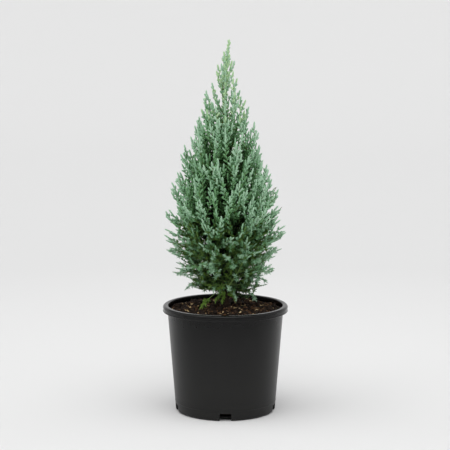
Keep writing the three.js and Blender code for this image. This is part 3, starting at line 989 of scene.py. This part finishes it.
class Growth:
    """The twigs and shoots of the whole crown; those that trail may leave its envelope."""

    def __init__(self):
        self.twigs = []
        self.shoots = {name: [] for name in TINTS}
        self.trailing = False

    def add_shoot(self, foot, way, length, pale, tint, closing=1.0):
        """A leafy shoot, whose needles lie close high up and spread into a star low down."""
        tip = foot + way * length
        if not (self.trailing or inside_crown(tip)):
            return
        tint = tint or choose_tint(tip, pale)
        star = starriness(tip[2])
        needle = lerp(*NEEDLE_LENGTH, star) * rng.uniform(*NEEDLE_VARIATION) * closing
        spread = math.radians(lerp(*NEEDLE_SPREAD, star) * rng.uniform(*NEEDLE_VARIATION)) * closing
        self.shoots[tint].append((*foot, *way, length, needle, spread, rng.uniform(0, 2 * math.pi), star))

    def add_side_shoot(self, curve, s, turn, size, pale, tint):
        """A shoot that leaves a feather's twig forwards at a turn round it."""
        way = curve.tangent(s)
        level, other = cross_axes(way)
        side = level * math.cos(turn) + other * math.sin(turn)
        high = max(0, crown_share(curve.tip[2]) - NARROW_SHARE) / (1 - NARROW_SHARE)
        lean = lerp(1, SHOOT_TOP_SHARE, high) * lerp(1, STAR_ANGLE, starriness(curve.tip[2]))
        angle = math.radians(lerp(SHOOT_ANGLE, SHOOT_TIP_ANGLE, s) * lean * rng.uniform(*SHOOT_ANGLES))
        heading = way * math.cos(angle) + side * math.sin(angle)
        foot = curve.point(s)
        self.add_shoot(foot, heading, size, pale, tint)
        if size > FORKING_LENGTH:
            angle += math.radians(FORK_ANGLE) * (1 if rng.random() < 0.5 else -1)
            fork = way * math.cos(angle) + side * math.sin(angle)
            self.add_shoot(foot + heading * size * FORK_SHARE, fork, size * FORK_SHARE, pale, tint)

    def add_brush(self, curve, start, stop, pale, tint):
        """Needles along a feather's own twig, as a row of shoots end to end."""
        count = max(1, int(curve.length * (stop - start) / BRUSH_STEP))
        length = BRUSH_STEP * BRUSH_OVERLAP
        for k in range(count):
            s = lerp(start, stop, k / count)
            self.add_shoot(curve.point(s), curve.tangent(s), length, pale, tint, END_CLOSING)

    def add_feather(self, curve, leafy=None, width=1.0, tint=None, step=SHOOT_STEP, end_size=END_SHOOT):
        """A twig with four ranks of shoots along its leafy end, two of them longer, and one at its tip."""
        pale = rng.random()
        star = starriness(curve.tip[2])
        path = curve.point(np.linspace(0, TWIG_END, TWIG_RINGS))
        self.twigs.append((path, np.linspace(*TWIG_RADII, TWIG_RINGS) * width))
        start = max(BARE_FOOT, 1 - (leafy or curve.length) / curve.length)
        end = min(curve.length * LONGEST_END, end_size * width)
        stop = 1 - END_OVERLAP * end / curve.length
        step = lerp(step, max(step, STAR_STEP), star)
        count = max(FEWEST_SHOOTS, int(curve.length * (stop - start) / step))
        phase = rng.uniform(0, 2 * math.pi)
        longest = lerp(*SHOOT_LENGTH, star)
        for k in range(count):
            s = lerp(start, stop, (k + 0.5) / count)
            rank = SHOOT_RANKS[k % len(SHOOT_RANKS)]
            turn = phase + math.radians(rank) + rng.uniform(-RANK_SPREAD, RANK_SPREAD)
            size = longest * lerp(1, SHOOT_TIP_SHARE, s) * rng.uniform(*LENGTH_VARIATION) * width
            size = min(size, LANCE_SLOPE * (1 - s) * curve.length + LANCE_TIP)
            if rank % 180:
                size *= OFF_PLANE_SHARE
            self.add_side_shoot(curve, s, turn, size, pale, tint)
        if star > BRUSH_SHARE:
            self.add_brush(curve, start, stop, pale, tint)
        way = curve.tangent(END_SAMPLE)
        self.add_shoot(curve.tip - way * end, way, end, pale, tint, END_CLOSING)


def under_skirt(tip):
    """Whether a tip would hide the trunk's foot: the crown's lower edge rises towards the front."""
    away = tip - trunk_point(tip[2])
    facing = max(0, -away[1] / max(math.hypot(away[0], away[1]), 1))
    return tip[2] < CROWN_FOOT + lerp(*SKIRT_RISE, facing)


def feather_curve(foot, way, length, out):
    """A branchlet's path, which leaves by the source's rule and turns to where tips point."""
    for size in SPRAY_SIZES:
        bend = foot + way * length * size * BEND_SHARE
        turned = unit(way * (1 - TIP_TURN) + tip_way(bend, out, rng.uniform(*SPRAY_LEAN)) * TIP_TURN)
        tip = bend + turned * length * size * (1 - BEND_SHARE)
        if inside_crown(tip) and not under_skirt(tip):
            return Curve(foot, bend, tip)
    return None


def slimness(z):
    """How much narrower feathers are where the crown is slender."""
    return lerp(SLIMMEST, 1, min(1, crown_radius(z) / (SLIM_SHARE * BELLY_RADIUS)))


def end_share(z):
    """How far feathers reach towards the envelope at a height."""
    return float(np.interp(z, *zip(*END_SHARES)))


def spread_feathers(growth, limbs, count, reaches, leans, step):
    """Feathers spread over the crown as the source spreads its plumes, each from the nearest limb."""
    for i, z in enumerate(even_heights(count)):
        out = outward(i * GOLDEN_ANGLE + rng.uniform(-TURN_SPREAD, TURN_SPREAD))
        share = rng.random()
        tip = UP * z + out * crown_radius(z) * lerp(*reaches, share) * end_share(z)
        slim = slimness(z)
        length = FEATHER_LENGTH * slim * rng.uniform(*LENGTH_VARIATION)
        fan = np.cross(UP, out) * rng.uniform(-LOW_FAN, LOW_FAN) * starriness(z)
        way = tip_way(tip, out, lerp(*leans, share)) + rng.uniform(-WAY_SPREAD, WAY_SPREAD, 3)
        way = unit(way + fan)
        if under_skirt(tip) or z > SPREAD_TOP or (z > SPARSE_Z and i % SPARSE_STEP == 0):
            continue
        wanted = tip - way * length
        wanted -= out * min(0, wanted @ out)
        foot = limbs[np.argmin(np.linalg.norm(limbs - wanted, axis=1))]
        span = min(length, float(np.linalg.norm(tip - foot)))
        growth.add_feather(Curve(foot, tip - way * span * SWEEP_SHARE, tip), length, slim, None, step)


def limb_points(plumes):
    """Points along every stem and the trunk, from which feathers may grow."""
    t = np.linspace(*LIMB_SPAN, LIMB_STEPS)
    stems = [plume.point(t) for plume in plumes]
    return np.concatenate([*stems, trunk_point(np.linspace(LIMB_FOOT, TRUNK_TOP, TRUNK_STEPS))])


def grow_spire(growth):
    """Feathers that end in the spire's single tips, seen from the front and again from the side."""
    for turn, drop in SPIRE_TURNS:
        out = outward(math.radians(turn))
        for reach, z in SPIRE_TIPS:
            tip = out * reach + UP * (z + drop)
            slim = slimness(tip[2])
            way = tip_way(tip, out * math.copysign(1, reach), SPIRE_LEAN)
            length = SPIRE_LENGTH * lerp(slim, 1, 0.5)
            foot = trunk_point(min(tip[2] - length, TRUNK_TOP))
            curve = Curve(foot, tip - way * length * SWEEP_SHARE, tip)
            growth.add_feather(curve, length * SPIRE_LEAFY, slim)


def dress_plume(growth, plume):
    """A feather for each of the source's own sprays, and one along the plume's outer part."""
    thin = THIN_STEP if plume.tip[2] > THIN_Z else 1
    for j in range(0, LEADER_FEATHERS if plume.is_leader else plume.branchlets, thin):
        curve = feather_curve(*grow_branchlet(plume, j), plume.out)
        if curve:
            growth.add_feather(curve, None, slimness(curve.tip[2]))
    start, middle = plume.point(LEAFY_START), plume.point(lerp(LEAFY_START, 1, 0.5))
    curve = Curve(start, 2 * middle - lerp(start, plume.tip, 0.5), plume.tip)
    if plume.is_leader:
        growth.add_feather(curve, None, LEADER_WIDTH, None, LEADER_STEP, LEADER_END)
    else:
        low = LOW_WIDTH if under_skirt(plume.tip) else 1
        growth.add_feather(curve, None, slimness(plume.tip[2]) * low)


def grow_low(growth):
    """Sprigs that arch down to the soil, and sprays that frame the trunk's foot."""
    growth.trailing = True
    for fork_z, bend_share, rise, leafy, width, tint, tips in LOW_GROWTH:
        foot = trunk_point(fork_z)
        for tip in np.array(tips, float):
            curve = Curve(foot, lerp(foot, tip, bend_share) + UP * rise, tip)
            growth.add_feather(curve, leafy, width, tint)


def grow_crown():
    plumes = [grow_plume(i, z) for i, z in enumerate(even_heights(PLUMES))] + [grow_leader()]
    growth = Growth()
    for plume in plumes:
        dress_plume(growth, plume)
    limbs = limb_points(plumes)
    for layer in LAYERS:
        spread_feathers(growth, limbs, *layer)
    grow_spire(growth)
    grow_low(growth)
    return plumes, growth


def needle_mesh(shoots, whorls):
    """Folded kites in whorls along each shoot, as points and triangles."""
    shoots = np.array(shoots)
    foot, way = shoots[:, None, 0:3], shoots[:, None, 3:6]
    length, needle, spread, roll, star = (shoots[:, None, k] for k in range(6, 11))
    index = np.arange(whorls * NEEDLES_A_WHORL)
    whorl = index // NEEDLES_A_WHORL
    s = ((whorl + WHORL_OFFSET) / whorls)[None, :]
    shape = (len(shoots), len(index))
    level, other = cross_axes(way)
    turn = roll + (whorl * math.pi / NEEDLES_A_WHORL + index * 2 * math.pi / NEEDLES_A_WHORL)[None, :]
    turn = turn + rng.uniform(-NEEDLE_TURN, NEEDLE_TURN, shape)
    radial = level * np.cos(turn)[..., None] + other * np.sin(turn)[..., None]
    angle = spread * (1 - lerp(*NEEDLE_CLOSING, star) * s**2) * rng.uniform(*NEEDLE_ANGLES, shape)
    size = needle * (1 - NEEDLE_TAPER * s) * rng.uniform(*NEEDLE_LENGTHS, shape)
    heading = way * np.cos(angle)[..., None] + radial * np.sin(angle)[..., None]
    across = unit(np.cross(heading, radial))
    along = (length - NEEDLE_INSET * needle) * s
    root = foot + way * along[..., None] + radial * lerp(*NEEDLE_RIM, star)[..., None]
    tip = root + heading * size[..., None] - radial * (NEEDLE_CURL * size)[..., None]
    middle = root + heading * (NEEDLE_MIDDLE * size)[..., None]
    half = lerp(*NEEDLE_HALF_WIDTH, star)[..., None]
    left = middle - across * half - radial * NEEDLE_FOLD * half
    right = middle + across * half - radial * NEEDLE_FOLD * half
    vertices = np.stack([root, right, tip, left], axis=2).reshape(-1, 3)
    return vertices, repeated([[0, 1, 2], [0, 2, 3]], shape[0] * shape[1], 4)


def shoot_cores(shoots, sides, rings):
    """A spindle in each shoot, through rings of (share of length, share of radius) to the tip."""
    shoots = np.array(shoots)
    foot, way, length = shoots[:, 0:3], shoots[:, 3:6], shoots[:, 6:7]
    level, other = cross_axes(way)
    swell = lerp(*CORE_RADIUS, shoots[:, 10:11])
    points = []
    for s, share in rings:
        for a in turns(sides):
            side = level * math.cos(a) + other * math.sin(a)
            points.append(foot + way * length * s + swell * share * side)
    vertices = np.stack([*points, foot + way * length], axis=1)
    quads = grid_faces(len(rings), sides)
    last, apex = (len(rings) - 1) * sides, len(rings) * sides
    ends = [[last + k, last + (k + 1) % sides, apex] for k in range(sides)]
    faces = np.concatenate([quads[:, [0, 1, 2]], quads[:, [0, 2, 3]], ends])
    return vertices.reshape(-1, 3), repeated(faces, len(shoots), apex + 1)


def make_shoots(tint, shoots, nodes):
    """The needles and cores of one tint's shoots, in pieces of limited size."""
    material = new_material("needle_" + tint, TINTS[tint], 0.6, 0.35)[0]
    kinds = (
        ("scales_", SCALY_WHORLS, SCALY_CORE, [shoot for shoot in shoots if shoot[-1] < STAR_SHARE]),
        ("stars_", STAR_WHORLS, STAR_CORE, [shoot for shoot in shoots if shoot[-1] >= STAR_SHARE]),
    )
    cores = []
    for kind, whorls, core, group in kinds:
        step = PIECE_TRIANGLES // (whorls * NEEDLES_A_WHORL * 2)
        for k, start in enumerate(range(0, len(group), step)):
            needles = needle_mesh(group[start:start + step], whorls)
            add_piece(f"{kind}{tint}_{k + 1}", *needles, material, "foliage", nodes, smooth=False)
        if group:
            cores.append(shoot_cores(group, *core))
    if cores:
        add_piece("shoots_" + tint, *joined(cores), material, "foliage", nodes)


def make_foliage(growth):
    nodes = [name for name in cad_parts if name.startswith("foliage")]
    for tint, shoots in growth.shoots.items():
        make_shoots(tint, shoots, nodes)
    twigs = [tube(path, radii, TWIG_SIDES) for path, radii in growth.twigs]
    green = new_material("twig_green", srgb(98, 122, 64), 0.75, 0.35)[0]
    add_piece("twigs", *joined(twigs), green, "foliage", nodes)


def bark_relief(turn, distance, radius):
    """Long shallow strips that peel along a limb."""
    around = radius * STRIP_TURN
    along = distance * STRIP_STRETCH
    points = np.stack(np.broadcast_arrays(np.cos(turn) * around, np.sin(turn) * around, along), axis=-1)
    strips = rough(points * STRIP_SCALE, 3, 5)
    return radius * STRIP_DEPTH * (strips - np.maximum(0, strips) * STRIP_FLATTENING)


def make_bark(plumes):
    """The trunk, sunk a little in the soil, and the low boughs."""
    bark = bark_material("juniper_bark", srgb(24, 18, 13), srgb(62, 47, 34))
    heights = lerp(TRUNK_FOOT - TRUNK_SUNK, BARK_TOP, np.linspace(0, 1, TRUNK_RINGS) ** TRUNK_CROWDING)
    radii = trunk_radius(np.maximum(heights, TRUNK_FOOT))
    parts = [tube(trunk_point(heights), radii, TRUNK_SIDES, bark_relief)]
    t = np.linspace(0, BOUGH_END, BOUGH_RINGS)
    taper = np.interp(t, [0, BOUGH_SHARE, 1], [1, STEM_SHARE, BOUGH_END_SHARE])
    for plume in plumes[:BOUGHS]:
        parts.append(tube(plume.point(t), BOUGH_RADIUS * plume.size * taper, BOUGH_SIDES, bark_relief))
    boughs = ["bough_%02d" % (i + 1) for i in range(BOUGHS)]
    add_piece("bark", *joined(parts), bark, "bark", ["trunk", *boughs])


def make_stems(plumes):
    """The green stems inside the plumes, and the trunk's green end."""
    green = bark_material("green_stem", srgb(70, 78, 34), srgb(120, 138, 66))
    start, end = STEM_SPAN
    stems = []
    for plume in plumes:
        t = np.linspace(start if plume.index < BOUGHS else 0, end, STEM_RINGS)
        base = TRUNK_TIP_RADIUS if plume.is_leader else BOUGH_RADIUS * plume.size * STEM_SHARE
        radii = np.interp(t, [0, 1], [base, STEM_TIP_RADIUS])
        stems.append(tube(plume.point(t), radii, STEM_SIDES, bark_relief))
    heights = np.linspace(LEADER_Z, TRUNK_TOP + LEADER_OVERRUN, LEADER_RINGS)
    radii = trunk_radius(heights) * LEADER_SWELL
    stems.append(tube(trunk_point(heights), radii, LEADER_SIDES, bark_relief))
    add_piece("leafy_stems", *joined(stems), green, "bark")


# Stage


def floor_material():
    """Pale paper, painted a little darker away from the plant as painted shade of the far studio."""
    material, tree, shader = new_material("floor_paper", srgb(224, 224, 224), 0.9, 0.1)
    ball = tree.nodes.new("ShaderNodeTexGradient")
    ball.gradient_type = "SPHERICAL"
    tree.links.new(own_place(tree, (1 / FLOOR_RADIUS,) * 3), ball.inputs["Vector"])
    # Painted shade: the paper's grey falls from near the plant out to the far bowl.
    floor_painted_shade = [(0.3, srgb(210, 210, 210)), (0.9, srgb(217, 217, 217)), (0.975, srgb(228, 228, 228))]
    add_ramp(tree, ball.outputs["Fac"], floor_painted_shade, shader.inputs["Base Color"])
    return material


def make_floor():
    """A wide floor that rises far off in a smooth bowl, so that no horizon shows."""
    rings = np.concatenate([FLOOR_MIDDLE, np.linspace(FLAT_RADIUS, FLOOR_RADIUS, BOWL_RINGS)])
    rise = np.maximum(0, rings - FLAT_RADIUS) ** 2 / BOWL_DEPTH
    points, faces = lathe(np.stack([rings, rise], axis=-1), FLOOR_SIDES)
    data = bpy.data.meshes.new("floor")
    data.from_pydata(points.tolist(), [], faces.tolist())
    data.shade_smooth()
    data.materials.append(floor_material())
    new_object("floor", data)


def make_sky():
    world = bpy.data.worlds.new("studio")
    world.use_nodes = True
    background = world.node_tree.nodes["Background"]
    background.inputs["Color"].default_value = (1, 1, 1, 1)
    background.inputs["Strength"].default_value = SKY_LIGHT
    bpy.context.scene.world = world
    bpy.context.scene.view_settings.view_transform = "Standard"


def add_light(name, turn, height, strength, softness):
    """A broad far light, with its turn and height in degrees."""
    data = bpy.data.lights.new(name, "SUN")
    data.energy = strength
    data.angle = math.radians(softness)
    light = new_object(name, data)
    light.rotation_euler = (math.radians(90 - height), 0, math.radians(turn))


def make_camera():
    """The photograph's view: a long lens a little above the plant's middle."""
    data = bpy.data.cameras.new("camera")
    data.lens = data.sensor_width * FOCAL_PIXELS / FRAME_PIXELS
    camera = new_object("camera", data)
    camera.location = (-OFFSET_PIXELS * CAMERA_DISTANCE / FOCAL_PIXELS, -CAMERA_DISTANCE, CAMERA_HEIGHT)
    camera.rotation_euler = (math.pi / 2 - CAMERA_PITCH, 0, 0)
    bpy.context.scene.camera = camera


make_camera()
make_floor()
make_sky()
for light, settings in LIGHTS.items():
    add_light(light, *settings)
make_pot()
make_soil()
make_crumbs()
make_chips()
crown_plumes, crown_growth = grow_crown()
make_bark(crown_plumes)
make_stems(crown_plumes)
make_foliage(crown_growth)
